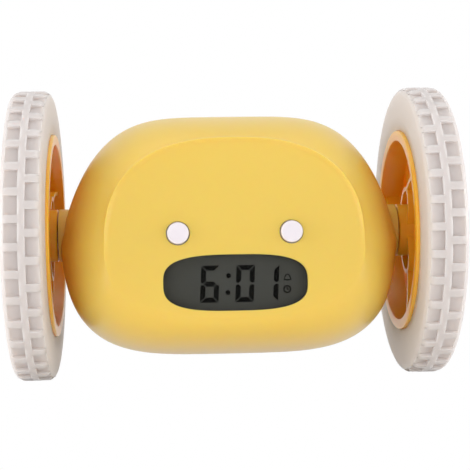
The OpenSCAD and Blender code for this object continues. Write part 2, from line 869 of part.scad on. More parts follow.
module hub_screw(side) {
    color(steel) on_axis(side) {
        translate([0, 0, axle_end - 5]) cylinder(h = 5 + eps, r = axle_bore - fit_gap);
        translate([0, 0, axle_end]) difference() {
            cylinder(h = 1.4, r = 3);
            translate([-2, -0.3, 0.8]) cube([4, 0.6, 1]);
            translate([-0.3, -2, 0.8]) cube([0.6, 4, 1]);
        }
    }
}

module hub_cap(side) {
    color(orange) on_axis(side) rotate_extrude() polygon([
        [4, disc_out + fit_gap], [cap_r, disc_out + fit_gap], [cap_r, cap_out - 1.8],
        [cap_r - 0.9, cap_out - 0.8], [cap_r - 3, cap_out - 0.2], [3, cap_out], [0, cap_out],
        [0, cap_out - 1.5], [4, cap_out - 1.5]
    ]);
}

front_cover();
rear_cover();
battery_door();
casing_screws();
lcd_lens();
lcd_panel();
display_board();
eye_button(-1);  // left_eye_button
eye_button(1);  // right_eye_button
main_board();
key_button(0);  // time_button
key_button(1);  // alarm_button
key_button(2);  // hour_button
key_button(3);  // minute_button
run_switch_knob();
run_switch_body();
buzzer();
battery_tray();
battery_cells();
battery_contacts();
motor(-1);  // left_motor
pinion(-1);  // left_pinion
idler_gear(-1);  // left_idler_gear
gearbox(-1);  // left_gearbox
bush(-1);  // left_bush
drive_gear(-1);  // left_drive_gear
axle(-1);  // left_axle
hub(-1);  // left_hub
tyre(-1);  // left_tyre
hub_screw(-1);  // left_hub_screw
hub_cap(-1);  // left_hub_cap
motor(1);  // right_motor
pinion(1);  // right_pinion
idler_gear(1);  // right_idler_gear
gearbox(1);  // right_gearbox
bush(1);  // right_bush
drive_gear(1);  // right_drive_gear
axle(1);  // right_axle
hub(1);  // right_hub
tyre(1);  // right_tyre
hub_screw(1);  // right_hub_screw
hub_cap(1);  // right_hub_cap
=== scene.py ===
"""Runaway alarm clock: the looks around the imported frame. Metres, front towards -Y."""
import math
import bmesh
import bpy
from mathutils import Matrix, Vector


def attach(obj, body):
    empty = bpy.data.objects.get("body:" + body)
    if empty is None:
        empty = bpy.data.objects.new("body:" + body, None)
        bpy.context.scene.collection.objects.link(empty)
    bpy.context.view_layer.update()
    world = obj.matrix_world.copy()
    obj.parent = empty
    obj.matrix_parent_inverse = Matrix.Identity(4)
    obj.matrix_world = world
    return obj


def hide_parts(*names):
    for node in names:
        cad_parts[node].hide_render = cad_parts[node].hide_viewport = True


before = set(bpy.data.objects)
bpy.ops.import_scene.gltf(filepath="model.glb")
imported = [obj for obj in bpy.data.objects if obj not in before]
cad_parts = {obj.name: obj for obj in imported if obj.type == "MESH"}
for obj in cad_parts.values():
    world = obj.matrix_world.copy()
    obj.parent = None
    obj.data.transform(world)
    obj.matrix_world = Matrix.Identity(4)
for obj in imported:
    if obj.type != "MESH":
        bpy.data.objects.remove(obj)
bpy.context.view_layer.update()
MM = 0.001
SIDES = {"left": -1, "right": 1}
AT_AXIS = 0.001  # radius of a turned section's points on its axis

# edges sharper than this many degrees stay crisp
SHARP, SHARP_CASING, SHARP_TYRE = 30, 24, 50
# cutters reach past what they cut by this many millimetres or a few times as many
PAST = 1

# ---------- sizes in millimetres ----------
# The same as the frame's, apart from the tyres, the ribs, the hub's lip, the bead on the crease and
# the window's corners, which are closer to the photograph here.

AXLE_Z = 44.5
LEAN = math.radians(5)
WALL = 2.0

# casing: the widest outline, the face, the back, and how boxy and tapered they are
BODY_W, BODY_TOP, BODY_BOTTOM, BODY_MID = 51.9, 35.6, 37.5, -4.1
FACE_W, FACE_TOP, FACE_BOTTOM, FACE_MID, FACE_Y = 37.1, 25.1, 26.0, -6.0, 34.4
BACK_W, BACK_TOP, BACK_BOTTOM, BACK_Y = 36.0, 22.0, 25.0, 33.0
POWER_TOP, POWER_BOTTOM, FACE_POWER = 4.9, 4.1, 2.5
TAPER_TOP, TAPER_BOTTOM, TAPER_POWER = 0.29, 0.14, 1.44
CREASE = math.radians(28)
NECK_OUT, NECK_IN, NECK_BORE, BOSS_R = BODY_W + 0.3, BODY_W - 7.3, 4.0, 8.1

# face: window and eye buttons
WINDOW_W, WINDOW_H, WINDOW_Z, WINDOW_POWER = 41.2, 16.0, -16.2, 0.65
GLASS_Y = -FACE_Y + WALL
EYE_R, EYE_X, EYE_Z, EYE_PROUD, EYE_COLLAR, BUTTON_GAP = 3.1, 16.2, -2.0, 1.4, 0.9, 0.3
EYE_TAIL = GLASS_Y + 1.3
BUTTON_EDGE, BUTTON_CROWN, COLLAR_GAP = 0.45, 0.07, 0.1

# back: keys, sound holes, switch slot, screw holes and battery door
KEYS = ("time", "alarm", "hour", "minute")
KEY_R, KEY_Z, KEY_PITCH, KEY_PROUD, KEY_COLLAR, KEY_TAIL = 2.3, 9.0, 11, 1, 0.7, 29.5
KEY_PLACES = [(i - (len(KEYS) - 1) / 2) * KEY_PITCH for i in range(len(KEYS))]
BUZZER_Z, SOUND_R, SOUND_RING = 16.6, 0.8, 2.9
SLOT_Z, SLOT_HALF_W, SLOT_HALF_H = 0.2, 3.6, 1.6
SCREW_PLACES = ((26, 22.5), (38.5, -25.8))
SCREW_HOLE_R, SCREW_HOLE_Y = 2.2, 12
DOOR_W, DOOR_LOW, DOOR_TOP, DOOR_AT, DOOR_GAP = 52.9, -29.0, -6.85, 24.45, 0.25
GRIP_R, GRIP_PROUD, GRIP_DROP, GRIP_HALF_W = 4.2, 3.4, 3, 6

# wheels
TYRE_R, TYRE_OUT, TYRE_W, SIDE_BULGE, BULGE_R, BULGE_END_R = 44.5, 65.2, 11.5, 0.5, 35.5, 40.0
POCKETS, POCKET_LEN, POCKET_W, POCKET_DEEP, POCKET_SLOPE = 36, 5.5, 3.85, 1.25, 0.35
TREAD_RIB, EDGE_RIM, POCKET_ROUND = 2.0, 1.15, 0.3
HUB_R, HUB_WALL, HUB_BORE, SEAT_GAP = 31.1, 3.1, 2.05, 0.02
LIP_PROUD, DISC_DEEP, DISC_WALL, NECK_GAP = 0.3, 3.1, 1.6, 0.4
LIP_IN = TYRE_OUT - TYRE_W - SIDE_BULGE - LIP_PROUD
DISC_OUT = TYRE_OUT - DISC_DEEP
DISC_IN = DISC_OUT - DISC_WALL
BOSS_IN = NECK_OUT + NECK_GAP

# ribs: angles in degrees; each forks at FORK_R into two legs and sinks into what it joins
RIBS, RIB_T, RIB_START, RIB_BEHIND_LIP, RIB_SINK = 3, 1.2, 52, 2.0, 0.5
FORK_R, FORK_SPREAD, LEG_LEAN, STEM_OVERLAP, STEM_LEAN_R = 14.5, 44, 0.6, 0.3, 20
RIB_BEND = {"left": -22, "right": 22}
WHEEL_TURN = {"left": -2.7, "right": -52.5}

# hub caps: the dome's points are (radius, drop from its top)
CAP_R, CAP_PROUD, CAP_ROUND, CAP_RISE, CAP_SHOULDER = 9.5, 1.3, 1.2, 1.3, 2.0
CAP_BORE, CAP_WALL, CAP_EDGE = 4, 1.5, 0.3
CAP_DOME = ((6.5, 0.4), (4.5, 0.16), (2.2, 0.04), (AT_AXIS, 0))

# ---------- small helpers ----------


def srgb(r, g, b):
    """A colour as the eye reads it, 0 to 255, as the linear value a shader takes."""
    def channel(v):
        v /= 255
        return v / 12.92 if v <= 0.04045 else ((v + 0.055) / 1.055) ** 2.4
    return (channel(r), channel(g), channel(b), 1.0)


def in_casing(p):
    """A point of the leaning casing, in millimetres, as a place in the scene."""
    x, y, z = p
    c, s = math.cos(LEAN), math.sin(LEAN)
    return Vector((x, y * c + z * s, AXLE_Z - y * s + z * c)) * MM


def new_object(name, verts, faces, smooth=SHARP):
    """A mesh object with its faces turned outwards; smooth is the angle of crisp edges, 0 for flat."""
    mesh = bpy.data.meshes.new(name)
    mesh.from_pydata(verts, [], faces)
    mesh.update()
    piece = bpy.data.objects.new(name, mesh)
    bpy.context.scene.collection.objects.link(piece)
    tidy_normals(piece)
    if smooth:
        smooth_by_angle(piece, smooth)
    return piece


def tidy_normals(piece):
    bm = bmesh.new()
    bm.from_mesh(piece.data)
    bmesh.ops.recalc_face_normals(bm, faces=bm.faces)
    bm.to_mesh(piece.data)
    bm.free()


def smooth_by_angle(piece, degrees):
    """Smooth shading, with edges sharper than the angle kept crisp."""
    mesh = piece.data
    mesh.polygons.foreach_set("use_smooth", [True] * len(mesh.polygons))
    bm = bmesh.new()
    bm.from_mesh(mesh)
    limit = math.radians(degrees)
    for e in bm.edges:
        e.smooth = len(e.link_faces) != 2 or e.calc_face_angle(0) < limit
    bm.to_mesh(mesh)
    bm.free()


def bake_modifiers(piece):
    """Applies what the piece's modifiers do and leaves none."""
    graph = bpy.context.evaluated_depsgraph_get()
    mesh = bpy.data.meshes.new_from_object(piece.evaluated_get(graph), depsgraph=graph)
    piece.modifiers.clear()
    old = piece.data
    piece.data = mesh
    bpy.data.meshes.remove(old)


def cut(piece, cutter, operation="DIFFERENCE"):
    """Cuts, joins or keeps the overlap, and removes the cutter."""
    m = piece.modifiers.new("cut", "BOOLEAN")
    m.operation = operation
    m.solver = "EXACT"
    m.object = cutter
    bake_modifiers(piece)
    bpy.data.objects.remove(cutter)


def bevel(piece, width, segments, angle):
    """Rounds the edges sharper than the angle, in degrees."""
    m = piece.modifiers.new("bevel", "BEVEL")
    m.width = width * MM
    m.segments = segments
    m.limit_method = "ANGLE"
    m.angle_limit = math.radians(angle)
    bake_modifiers(piece)


def prism(name, outline, place, low, high):
    """A closed prism: outline is points (a, b); place(a, b, h) puts them in the scene."""
    n = len(outline)
    verts = [place(a, b, low) for a, b in outline] + [place(a, b, high) for a, b in outline]
    faces = [[i, (i + 1) % n, n + (i + 1) % n, n + i] for i in range(n)]
    return new_object(name, verts, faces + [list(range(n))[::-1], list(range(n, 2 * n))], 0)


def circle(r, n=96, cx=0.0, cz=0.0):
    return [(cx + r * math.cos(i * math.tau / n), cz + r * math.sin(i * math.tau / n)) for i in range(n)]


def casing_prism(name, outline, y0, y1):
    return prism(name, outline, lambda a, b, h: in_casing((a, h, b)), y0, y1)


def lathe(name, section, place, steps=144, smooth=SHARP):
    """Turns a closed section of points (r, h) about an axis."""
    m = len(section)
    verts, faces = [], []
    for i in range(steps):
        a = i * math.tau / steps
        verts += [place(r * math.cos(a), r * math.sin(a), h) for r, h in section]
    for i in range(steps):
        k = (i + 1) % steps
        for j in range(m):
            n = (j + 1) % m
            faces.append([i * m + j, i * m + n, k * m + n, k * m + j])
    return new_object(name, verts, faces, smooth)


def dress(piece, material, body, node):
    """Gives a piece its material and slot, the body it rides on and the CAD node that it replaces."""
    piece.data.materials.clear()
    piece.data.materials.append(material)
    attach(piece, body)
    if node:
        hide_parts(node)


# ---------- materials ----------


def new_material(name):
    mat = bpy.data.materials.new(name)
    mat.use_nodes = True
    nodes = mat.node_tree.nodes
    return mat, nodes, mat.node_tree.links, nodes["Principled BSDF"]


def noise(nodes, links, scale, detail=3.0):
    where = nodes.new("ShaderNodeTexCoord")
    n = nodes.new("ShaderNodeTexNoise")
    n.inputs["Scale"].default_value = scale
    n.inputs["Detail"].default_value = detail
    links.new(where.outputs["Object"], n.inputs["Vector"])
    return n


def vary(nodes, links, source, low, high, socket):
    """Maps a grey value to the range low to high on a shader's socket."""
    m = nodes.new("ShaderNodeMapRange")
    m.inputs["To Min"].default_value = low
    m.inputs["To Max"].default_value = high
    links.new(source, m.inputs["Value"])
    links.new(m.outputs["Result"], socket)


DRIFT_SCALE, GRAIN_DEPTH, ROUGH_SPREAD, COAT_ROUGH = 28.0, 0.0001, 0.05, 0.12


def plastic(name, colour, deep, rough=0.36, grain=2600.0, bump=0.03,
            soft=0.0, radius=(1, 0.6, 0.3), scale=0.002, coat=0.0, shine=0.5):
    """Moulded plastic: fine spark texture, faint colour drift, roughness that varies a little."""
    mat, nodes, links, bsdf = new_material(name)
    drift = noise(nodes, links, DRIFT_SCALE)
    mix = nodes.new("ShaderNodeMix")
    mix.data_type = "RGBA"
    mix.inputs["A"].default_value = colour
    mix.inputs["B"].default_value = deep
    links.new(drift.outputs["Fac"], mix.inputs["Factor"])
    links.new(mix.outputs["Result"], bsdf.inputs["Base Color"])
    fine = noise(nodes, links, grain, 2.0)
    low, high = rough - ROUGH_SPREAD, rough + ROUGH_SPREAD
    vary(nodes, links, fine.outputs["Fac"], low, high, bsdf.inputs["Roughness"])
    b = nodes.new("ShaderNodeBump")
    b.inputs["Strength"].default_value = bump
    b.inputs["Distance"].default_value = GRAIN_DEPTH
    links.new(fine.outputs["Fac"], b.inputs["Height"])
    links.new(b.outputs["Normal"], bsdf.inputs["Normal"])
    bsdf.inputs["Subsurface Weight"].default_value = soft
    bsdf.inputs["Subsurface Radius"].default_value = radius
    bsdf.inputs["Subsurface Scale"].default_value = scale
    bsdf.inputs["Specular IOR Level"].default_value = shine
    bsdf.inputs["Coat Weight"].default_value = coat
    bsdf.inputs["Coat Roughness"].default_value = COAT_ROUGH
    return mat


def metal(name, colour, rough=0.3, scale=900.0):
    mat, nodes, links, bsdf = new_material(name)
    n = noise(nodes, links, scale, 4.0)
    bsdf.inputs["Base Color"].default_value = colour
    bsdf.inputs["Metallic"].default_value = 1.0
    vary(nodes, links, n.outputs["Fac"], rough - 0.08, rough + 0.1, bsdf.inputs["Roughness"])
    return mat


YELLOW = plastic("casing_yellow", srgb(237, 202, 95), srgb(234, 198, 89), 0.34,
                 soft=0.5, radius=(1, 0.6, 0.15), scale=0.003, coat=0.07, shine=0.35)
ORANGE = plastic("hub_orange", srgb(255, 187, 52), srgb(252, 180, 44), 0.3,
                 soft=0.7, radius=(1, 0.4, 0.08), scale=0.003, coat=0.1)
MILK = plastic("tyre_milk", srgb(212, 205, 202), srgb(207, 199, 196), 0.42, 1500.0, 0.05,
               soft=0.9, radius=(1, 0.95, 0.9), scale=0.006)
BUTTON = plastic("button_white", srgb(238, 230, 236), srgb(232, 226, 232), 0.35,
                 soft=0.2, radius=(1, 0.9, 0.9))
LCD_GREY = plastic("lcd_grey", srgb(94, 95, 90), srgb(88, 89, 85), 0.6, 900.0, 0.0, shine=0.0)
LCD_INK = plastic("lcd_ink", srgb(10, 10, 10), srgb(14, 14, 13), 0.6, 900.0, 0.0, shine=0.0)
BLACK = plastic("black_plastic", srgb(26, 26, 28), srgb(34, 34, 36), 0.5)
BOARD = plastic("board_green", srgb(28, 92, 58), srgb(22, 80, 50), 0.35, 700.0, 0.02, coat=0.3)
NYLON = plastic("nylon", srgb(236, 233, 220), srgb(228, 224, 208), 0.4, soft=0.3, radius=(1, 0.9, 0.8))
GREY = plastic("frame_grey", srgb(205, 205, 200), srgb(196, 196, 192), 0.45)
WRAP = plastic("cell_wrap", srgb(44, 84, 140), srgb(38, 74, 128), 0.3, coat=0.4)
STEEL = metal("steel", (0.62, 0.62, 0.64, 1), 0.28)
CAN = metal("motor_can", (0.7, 0.7, 0.72, 1), 0.35)
BRASS = metal("brass", (0.83, 0.66, 0.33, 1), 0.25)


def smoked_window():
    """Clear dark plastic in front of the display."""
    mat, nodes, links, bsdf = new_material("window_smoke")
    bsdf.inputs["Base Color"].default_value = srgb(30, 30, 28)
    bsdf.inputs["Alpha"].default_value = 0.14
    bsdf.inputs["Specular IOR Level"].default_value = 0.15
    n = noise(nodes, links, 60.0)
    vary(nodes, links, n.outputs["Fac"], 0.1, 0.16, bsdf.inputs["Roughness"])
    mat.surface_render_method = "BLENDED"
    return mat


SMOKE = smoked_window()

# ---------- casing: one smooth skin in two halves ----------

AROUND = 240
DISH, RIDGE, RIDGE_WIDTH = 0.5, 0.5, 0.7
CREASE_FROM, CREASE_FADE, RIDGE_FROM, RIDGE_FADE = 0.45, 0.6, 0.3, 0.7
# where the rows of points lie, close together beside the crease
FACE_SHARES = [k / 12 for k in range(1, 12)] + [0.95, 0.965, 0.98, 0.99, 1.0]
SKIN_SHARES = [0.006, 0.014, 0.026] + [0.04 + 0.96 * k / 26 for k in range(27)]


def power(v, p):
    """A power that keeps the sign."""
    return math.copysign(abs(v) ** p, v)


def ease(v):
    """From 0 to 1 with soft ends."""
    v = max(0.0, min(1.0, v))
    return v * v * (3 - 2 * v)


def girth_point(a, inset):
    """The widest outline: flat above and below, narrower towards both."""
    up = math.sin(a) > 0
    p = POWER_TOP if up else POWER_BOTTOM
    rise = power(math.sin(a), 2 / p)
    taper = (TAPER_TOP if up else TAPER_BOTTOM) * abs(rise) ** TAPER_POWER
    tall = BODY_TOP - inset - BODY_MID if up else BODY_BOTTOM - inset + BODY_MID
    return (BODY_W - inset) * power(math.cos(a), 2 / p) * (1 - taper), BODY_MID + tall * rise


def face_point(a, w, top, bottom):
    """The outline of the face or the back."""
    tall = top - FACE_MID if math.sin(a) > 0 else bottom + FACE_MID
    return w * power(math.cos(a), 2 / FACE_POWER), FACE_MID + tall * power(math.sin(a), 2 / FACE_POWER)


def skin_point(a, t, front, inset):
    """A point of the skin at the angle a, from the face or back (t = 0) to the widest outline (t = 1)."""
    if front:
        edge = face_point(a, FACE_W - inset, FACE_TOP - inset, FACE_BOTTOM - inset)
        start = CREASE * ease((math.sin(a) + CREASE_FROM) / CREASE_FADE)
        flat = -(FACE_Y - inset)
    else:
        edge = face_point(a, BACK_W - inset, BACK_TOP - inset, BACK_BOTTOM - inset)
        start = 0.0
        flat = BACK_Y - inset
    mid = girth_point(a, inset)
    phi = start + (math.pi / 2 - start) * t
    share = (math.sin(phi) - math.sin(start)) / (1 - math.sin(start))
    depth = flat * math.cos(phi) / math.cos(start)
    return (edge[0] + (mid[0] - edge[0]) * share, depth, edge[1] + (mid[1] - edge[1]) * share)


def spread(i):
    """The angle of point i round the casing."""
    return i * math.tau / AROUND


def ridge(a, away):
    """A soft bead on the crease; it fades out towards the underside."""
    return RIDGE * ease((math.sin(a) + RIDGE_FROM) / RIDGE_FADE) * math.exp(-(away / RIDGE_WIDTH) ** 2)


def half_rows(front, inset, past):
    """Rings of points from the middle of the face or back out to the split, and past it for a cutter."""
    rows = []
    flat = -(FACE_Y - inset) if front else BACK_Y - inset
    sign = 1 if front else -1
    shaped = front and inset == 0
    for f in FACE_SHARES:
        row = []
        for i in range(AROUND):
            x, _, z = skin_point(spread(i), 0, front, inset)
            away = (1 - f) * math.hypot(x, z - FACE_MID)
            dip = DISH * (1 - f ** 4) - ridge(spread(i), away) if shaped else 0
            row.append((x * f, flat + sign * dip, FACE_MID + (z - FACE_MID) * f))
        rows.append(row)
    for t in SKIN_SHARES:
        row = []
        for i in range(AROUND):
            x, y, z = skin_point(spread(i), t, front, inset)
            if shaped:
                x0, y0, z0 = skin_point(spread(i), 0, front, inset)
                y -= ridge(spread(i), math.dist((x, y, z), (x0, y0, z0)))
            row.append((x, y, z))
        rows.append(row)
    if past:
        rows.append([(x, sign * past, z) for x, _, z in rows[-1]])
    return rows


def half_solid(name, front, inset, past=0.0):
    """One half of the casing as a closed solid, smaller all round by the inset."""
    rows = half_rows(front, inset, past)
    flat = rows[0][0][1]
    end = rows[-1][0][1]
    verts = [in_casing(p) for row in rows for p in row]
    verts += [in_casing((0, flat, FACE_MID)), in_casing((0, end, BODY_MID))]
    a, b = len(verts) - 2, len(verts) - 1
    faces = []
    for j in range(len(rows) - 1):
        for i in range(AROUND):
            k = (i + 1) % AROUND
            faces.append([j * AROUND + i, j * AROUND + k, (j + 1) * AROUND + k, (j + 1) * AROUND + i])
    last = (len(rows) - 1) * AROUND
    for i in range(AROUND):
        k = (i + 1) % AROUND
        faces += [[a, k, i], [b, last + i, last + k]]
    return new_object(name, verts, faces, 0)


def window_outline(n=96):
    """A barrel: the middle is full, the corners are round."""
    def point(a):
        x = WINDOW_W / 2 * power(math.cos(a), WINDOW_POWER)
        return x, WINDOW_Z + WINDOW_H / 2 * power(math.sin(a), WINDOW_POWER)
    return [point(i * math.tau / n) for i in range(n)]


def axis_place(side):
    """Points (a, b) across the wheel axis at distance h outwards from the middle."""
    return lambda a, b, h: Vector((side * h, a, AXLE_Z + b)) * MM


def neck(side, front, steps=48):
    """Half of the collar round the axle."""
    lo = math.pi / 2 if front else -math.pi / 2
    angles = [lo + math.pi * i / steps for i in range(steps + 1)]
    arc = [(BOSS_R * math.cos(a), BOSS_R * math.sin(a)) for a in angles]
    return prism("neck", arc, axis_place(side), NECK_IN, NECK_OUT)


def casing_wall(name, front):
    """One half of the skin, hollowed to the wall's thickness."""
    shell = half_solid(name, front, 0.0)
    cut(shell, half_solid("inside", front, WALL, PAST))
    return shell


def casing_half(name, front):
    """The skin with the collars and bores for both axles."""
    shell = casing_wall(name, front)
    for side in (-1, 1):
        cut(shell, neck(side, front), "UNION")
        cut(shell, prism("bore", circle(NECK_BORE, 64), axis_place(side), NECK_IN - PAST, NECK_OUT + PAST))
    return shell


def front_shell():
    """The front half with openings for the window and the eye buttons."""
    shell = casing_half("front_shell", True)
    low, high = -FACE_Y - 2 * PAST, -FACE_Y + WALL + 2 * PAST
    cut(shell, casing_prism("hole", window_outline(), low, high))
    for s in (-1, 1):
        hole = circle(EYE_R + BUTTON_GAP, 64, s * EYE_X, EYE_Z)
        cut(shell, casing_prism("hole", hole, low, high))
    smooth_by_angle(shell, SHARP_CASING)
    return shell


def rear_box(x0, x1, z0, z1, y0, y1):
    return casing_prism("zone", [(x0, z0), (x1, z0), (x1, z1), (x0, z1)], y0, y1)


def door_zone(gap):
    """The block that cuts the door's opening, or with a gap the door itself, out of the back."""
    half = DOOR_W / 2 - gap
    return rear_box(-half, half, DOOR_LOW + gap, DOOR_TOP - gap, DOOR_AT, BACK_Y + 6 * PAST)


def sound_holes():
    """One hole with six round it."""
    return [(0.0, 0.0)] + circle(SOUND_RING, 6)


def rear_shell():
    """The rear half with openings for the door, keys, sound, switch and screws."""
    shell = casing_half("rear_shell", False)
    low, high = BACK_Y - WALL - 2 * PAST, BACK_Y + 2 * PAST
    cut(shell, door_zone(0))
    for x in KEY_PLACES:
        cut(shell, casing_prism("hole", circle(KEY_R + BUTTON_GAP, 48, x, KEY_Z), low, high))
    for x, z in sound_holes():
        cut(shell, casing_prism("hole", circle(SOUND_R, 24, x, BUZZER_Z + z), low - PAST, high))
    slot_low, slot_top = SLOT_Z - SLOT_HALF_H, SLOT_Z + SLOT_HALF_H
    cut(shell, rear_box(-SLOT_HALF_W, SLOT_HALF_W, slot_low, slot_top, low + PAST, high))
    for x, z in SCREW_PLACES:
        for s in (-1, 1):
            cut(shell, casing_prism("hole", circle(SCREW_HOLE_R, 32, s * x, z), SCREW_HOLE_Y, high))
    smooth_by_angle(shell, SHARP_CASING)
    return shell


def door_panel():
    """The battery door with a hollow for a fingertip near its top."""
    panel = casing_wall("door_panel", False)
    cut(panel, door_zone(DOOR_GAP), "INTERSECT")
    grip = circle(GRIP_R, 48, BACK_Y + GRIP_PROUD, DOOR_TOP - GRIP_DROP)
    cut(panel, prism("grip", grip, lambda a, b, h: in_casing((h, a, b)), -GRIP_HALF_W, GRIP_HALF_W))
    smooth_by_angle(panel, SHARP_CASING)
    return panel


def button(name, x, z, y_top, y_collar, y_tail, r, collar):
    """A push button along Y with a softly rounded cap."""
    sign = 1 if y_tail > y_top else -1
    tall, deep, flat_r = abs(y_tail - y_top), abs(y_collar - y_top), r - BUTTON_EDGE
    section = [(AT_AXIS, 0.0), (r * 0.5, 0.02), (flat_r, BUTTON_CROWN)]
    for i in range(1, 7):
        a = i * math.pi / 12
        rim_h = BUTTON_CROWN + BUTTON_EDGE * (1 - math.cos(a))
        section.append((flat_r + BUTTON_EDGE * math.sin(a), rim_h))
    section += [(r, deep), (r + collar, deep), (r + collar, tall), (AT_AXIS, tall)]
    return lathe(name, section, lambda a, b, h: in_casing((x + a, y_top + sign * h, z + b)), 96)


# ---------- display ----------

DIGIT_W, DIGIT_H, STROKE, SLANT, SEGMENT_GAP, CORNER_CUT = 5.3, 10.6, 1.45, 0.06, 0.17, 0.4
DIGIT_Z = -16.5
DIGIT_PLACES = {-7.25: "6", 2.85: "0", 9.85: "1"}
LIT = {"6": "acdefg", "0": "abcdef", "1": "bc"}
COLON_R, COLON_DOTS = 0.72, ((-1.86, -14.2), (-2.16, -19.0))
CLOCK_SIGN, BELL_SIGN = (14.9, -18.35), (15.05, -14.8)
INK_Y, INK_DEEP = GLASS_Y + 1.47, 0.04


def level_stroke(z, up):
    """A level stroke with mitred ends: up is 1 at the top, 0 in the middle and -1 at the bottom."""
    w, t, g = DIGIT_W / 2, STROKE, SEGMENT_GAP
    m = t / 2
    if up:
        long_side = [(-w + g, z + up * m), (w - g, z + up * m)]
        return long_side + [(w - t - g, z - up * m), (-w + t + g, z - up * m)]
    right = [(w - t - g, z + m), (w - m - g, z), (w - t - g, z - m)]
    left = [(-w + t + g, z - m), (-w + m + g, z)]
    return [(-w + t + g, z + m)] + right + left


def tall_stroke(side, far):
    """An upright stroke with mitred ends, from the middle of the digit to the height far."""
    w, t, g = DIGIT_W / 2, STROKE, SEGMENT_GAP
    m, up = t / 2, 1 if far > 0 else -1
    x, x_in = side * w, side * (w - t)
    outer = [(x, far - up * g), (x, up * (m * CORNER_CUT + g))]
    inner = [(x - side * m, up * g), (x_in, up * (m + g)), (x_in, far - up * (t + g))]
    return outer + inner


def segment_outlines(cx):
    """The seven strokes of one digit, by their usual letters."""
    h, m = DIGIT_H / 2, STROKE / 2
    strokes = {
        "a": level_stroke(h - m, 1), "g": level_stroke(0, 0), "d": level_stroke(-h + m, -1),
        "f": tall_stroke(-1, h), "b": tall_stroke(1, h),
        "e": tall_stroke(-1, -h), "c": tall_stroke(1, -h),
    }
    return {k: [(cx + x + z * SLANT, DIGIT_Z + z) for x, z in pts] for k, pts in strokes.items()}


def flat_piece(name, outlines):
    """Thin printed shapes lying just in front of the display panel."""
    verts, faces = [], []
    for outline in outlines:
        n, start = len(outline), len(verts)
        verts += [in_casing((x, INK_Y, z)) for x, z in outline]
        verts += [in_casing((x, INK_Y - INK_DEEP, z)) for x, z in outline]
        for i in range(n):
            k = (i + 1) % n
            faces.append([start + i, start + k, start + n + k, start + n + i])
        faces += [[start + i for i in range(n)][::-1], [start + n + i for i in range(n)]]
    return new_object(name, verts, faces, 0)


def ring_parts(cx, cz, r, width, start=0.0, end=math.tau, n=28):
    """A ring or arc as a row of small quads."""
    step = (end - start) / n
    parts = []
    for i in range(n):
        a, b = start + i * step, start + (i + 1) * step
        corners = ((r, a), (r, b), (r - width, b), (r - width, a))
        parts.append([(cx + q * math.cos(v), cz + q * math.sin(v)) for q, v in corners])
    return parts


def bar(x0, z0, x1, z1, width):
    """The outline of a straight stroke."""
    d = math.hypot(x1 - x0, z1 - z0)
    nx, nz = -(z1 - z0) / d * width / 2, (x1 - x0) / d * width / 2
    return [(x0 + nx, z0 + nz), (x1 + nx, z1 + nz), (x1 - nx, z1 - nz), (x0 - nx, z0 - nz)]


def clock_sign(cx, cz):
    """A round dial with two hands."""
    r, line, hand, pin = 1.15, 0.4, 0.28, 0.22
    hands = [bar(cx, cz, cx, cz + 0.66, hand), bar(cx, cz, cx + 0.5, cz - 0.1, hand)]
    return ring_parts(cx, cz, r, line) + hands + [circle(pin, 12, cx, cz)]


def bell_sign(cx, cz):
    """A bell: a dome with flared sides, a rim and a clapper."""
    dome, line, foot, rim = 0.76, 0.26, cz - 0.8, 1.05
    clapper, clapper_line = 0.32, 0.16
    parts = ring_parts(cx, cz + 0.1, dome, line, 0, math.pi, 14)
    parts += [bar(cx + s * 0.66, cz + 0.12, cx + s * 1.0, foot, line) for s in (-1, 1)]
    parts.append(bar(cx - rim, foot, cx + rim, foot, line))
    return parts + ring_parts(cx, cz - 0.95, clapper, clapper_line, math.pi, math.tau, 8)


def display_marks():
    """The digits, the colon and the two signs."""
    shapes = []
    for cx, digit in DIGIT_PLACES.items():
        strokes = segment_outlines(cx)
        shapes += [strokes[k] for k in LIT[digit]]
    shapes += [circle(COLON_R, 24, x, z) for x, z in COLON_DOTS]
    shapes += clock_sign(*CLOCK_SIGN) + bell_sign(*BELL_SIGN)
    return flat_piece("display_marks", shapes)


# ---------- wheels ----------

PITCH = math.tau / POCKETS
POCKET_HALF = math.asin(POCKET_LEN / 2 / TYRE_R)
TYRE_IN = TYRE_OUT - TYRE_W
# where the two rows of pockets begin and end, from the middle of the clock outwards
OUTER_ROW = (TYRE_OUT - EDGE_RIM - POCKET_W, TYRE_OUT - EDGE_RIM)
INNER_ROW = (OUTER_ROW[0] - TREAD_RIB - POCKET_W, OUTER_ROW[0] - TREAD_RIB)


def wheel_place(side):
    """As axis_place, with the wheel turned on its axle as far as in the photograph."""
    turn = math.radians(WHEEL_TURN[side])
    c, s, place = math.cos(turn), math.sin(turn), axis_place(SIDES[side])
    return lambda a, b, h: place(a * c - b * s, a * s + b * c, h)


def tyre_section():
    """The tyre's outline as (radius, distance), in four stretches: side, two rows of tread, outer face."""
    r, seat, side, out = TYRE_R, HUB_R + SEAT_GAP, TYRE_IN - SIDE_BULGE, TYRE_OUT
    in0, in1 = INNER_ROW
    out0, out1 = OUTER_ROW
    inner_side = [(seat, side + 0.95), (HUB_R + 0.4, side + 0.6), (BULGE_R, side + 0.25),
                  (BULGE_END_R, TYRE_IN - 0.1), (r - 2.6, TYRE_IN + 0.05), (r - 1.8, TYRE_IN + 0.2)]
    inner_tread = [(r - 1.0, in0), (r - 0.3, in0 + 0.75), (r, in0 + 1.4), (r, in1)]
    outer_tread = [(r, out0), (r, out1 - 1.2), (r - 0.1, out1 - 0.5), (r - 0.35, out1)]
    outer_face = [(r - 0.75, out - 0.5), (r - 1.3, out - 0.1), (r - 1.9, out),
                  (r - 4.6, out), (r - 5.1, out - 0.15), (r - 5.6, out - 0.8),
                  (HUB_R + 2.2, out - 1.0), (seat, out - 1.0)]
    return inner_side, inner_tread, outer_tread, outer_face


